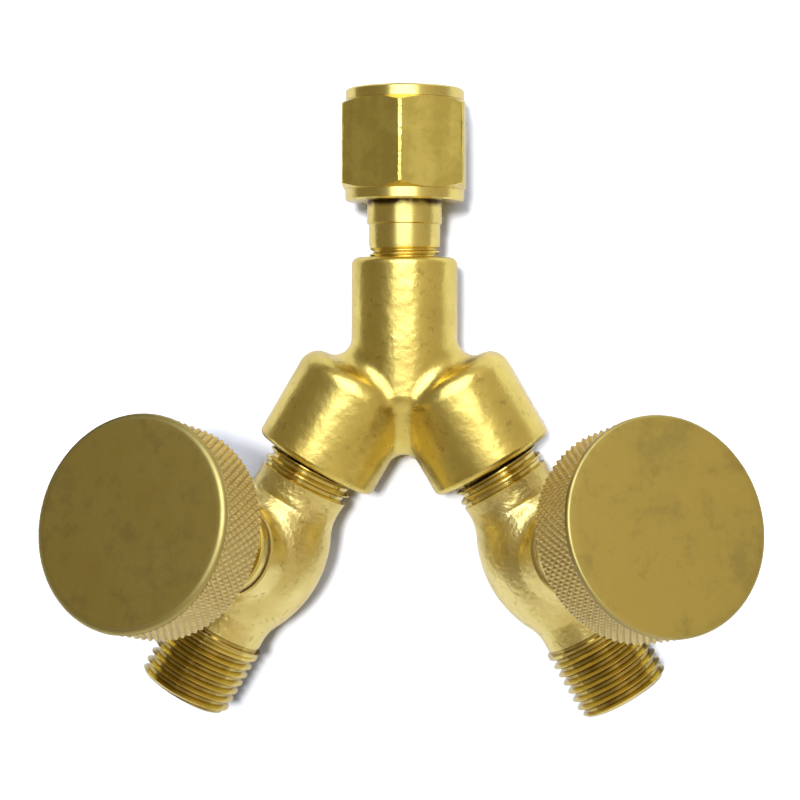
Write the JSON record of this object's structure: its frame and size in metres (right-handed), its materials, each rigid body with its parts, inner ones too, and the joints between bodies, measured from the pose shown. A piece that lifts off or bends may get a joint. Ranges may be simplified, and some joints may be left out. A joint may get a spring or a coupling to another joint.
{
  "type": "oxygen y-connector",
  "caption": "Brass oxygen Y-connector: a swivel-nut inlet splits into outlets, each with a round knurled knob that opens its shut-off valve.",
  "frame": {"origin": "centre of the inlet nut's mouth, on the inlet axis, where the mating outlet screws in", "axes": "+Y along the inlet axis out of the nut's mouth; +Z towards the knobs' side, up as the part lies on its back; +X to the right seen from the knobs with the inlet up"},
  "size_m": [0.0988, 0.0929, 0.0486],
  "materials": {
    "forged_brass": "tumbled forging, satin with fine pits",
    "turned_brass": "turned, bright",
    "nut_brass": "bar stock flats, matte, with turned collars",
    "knob_brass": "turned faces, clouded matte, diamond knurl on the rim",
    "thread_compound": "set thread compound, dark brown",
    "ptfe": "white PTFE",
    "fibre": "dark brown fibre",
    "nylon": "natural nylon",
    "steel": "blackened steel"
  },
  "bodies": {
    "fitting": {"y_body": "forged_brass", "inlet_nipple": "turned_brass", "inlet_thread_seal": "thread_compound", "left_thread_seal": "thread_compound", "left_valve_body": "forged_brass", "left_bonnet_gasket": "fibre", "left_bonnet": "turned_brass", "left_packing": "ptfe", "left_packing_washer": "turned_brass", "left_packing_nut": "turned_brass", "right_thread_seal": "thread_compound", "right_valve_body": "forged_brass", "right_bonnet_gasket": "fibre", "right_bonnet": "turned_brass", "right_packing": "ptfe", "right_packing_washer": "turned_brass", "right_packing_nut": "turned_brass"},
    "inlet_nut": {"inlet_nut": "nut_brass"},
    "left_seat": {"left_seat_holder": "turned_brass", "left_seat_disc": "nylon"},
    "left_spindle": {"left_stem": "turned_brass", "left_knob": "knob_brass", "left_knob_set_screw": "steel"},
    "right_seat": {"right_seat_holder": "turned_brass", "right_seat_disc": "nylon"},
    "right_spindle": {"right_stem": "turned_brass", "right_knob": "knob_brass", "right_knob_set_screw": "steel"}
  },
  "joints": [
    {"name": "nut_spin", "type": "hinge", "parent": "fitting", "child": "inlet_nut", "pos_m": [0, 0, 0], "axis": [0, 1, 0], "continuous": true},
    {"name": "left_seat_lift", "type": "slide", "parent": "fitting", "child": "left_seat", "axis": [-0.4066, 0.2347, 0.8829], "range_m": [0, 0.00254]},
    {"name": "left_knob_turn", "type": "hinge", "parent": "left_seat", "child": "left_spindle", "pos_m": [-0.0214, -0.06947, 0], "axis": [-0.4066, 0.2347, 0.8829], "range_deg": [0, 720]},
    {"name": "right_seat_lift", "type": "slide", "parent": "fitting", "child": "right_seat", "axis": [0.4066, 0.2347, 0.8829], "range_m": [0, 0.00254]},
    {"name": "right_knob_turn", "type": "hinge", "parent": "right_seat", "child": "right_spindle", "pos_m": [0.0214, -0.06947, 0], "axis": [0.4066, 0.2347, 0.8829], "range_deg": [0, 720]}
  ],
  "couplings": [
    {"joint": "left_seat_lift", "follows": "left_knob_turn", "m_per_rad": 0.00020213},
    {"joint": "right_seat_lift", "follows": "right_knob_turn", "m_per_rad": 0.00020213}
  ]
}
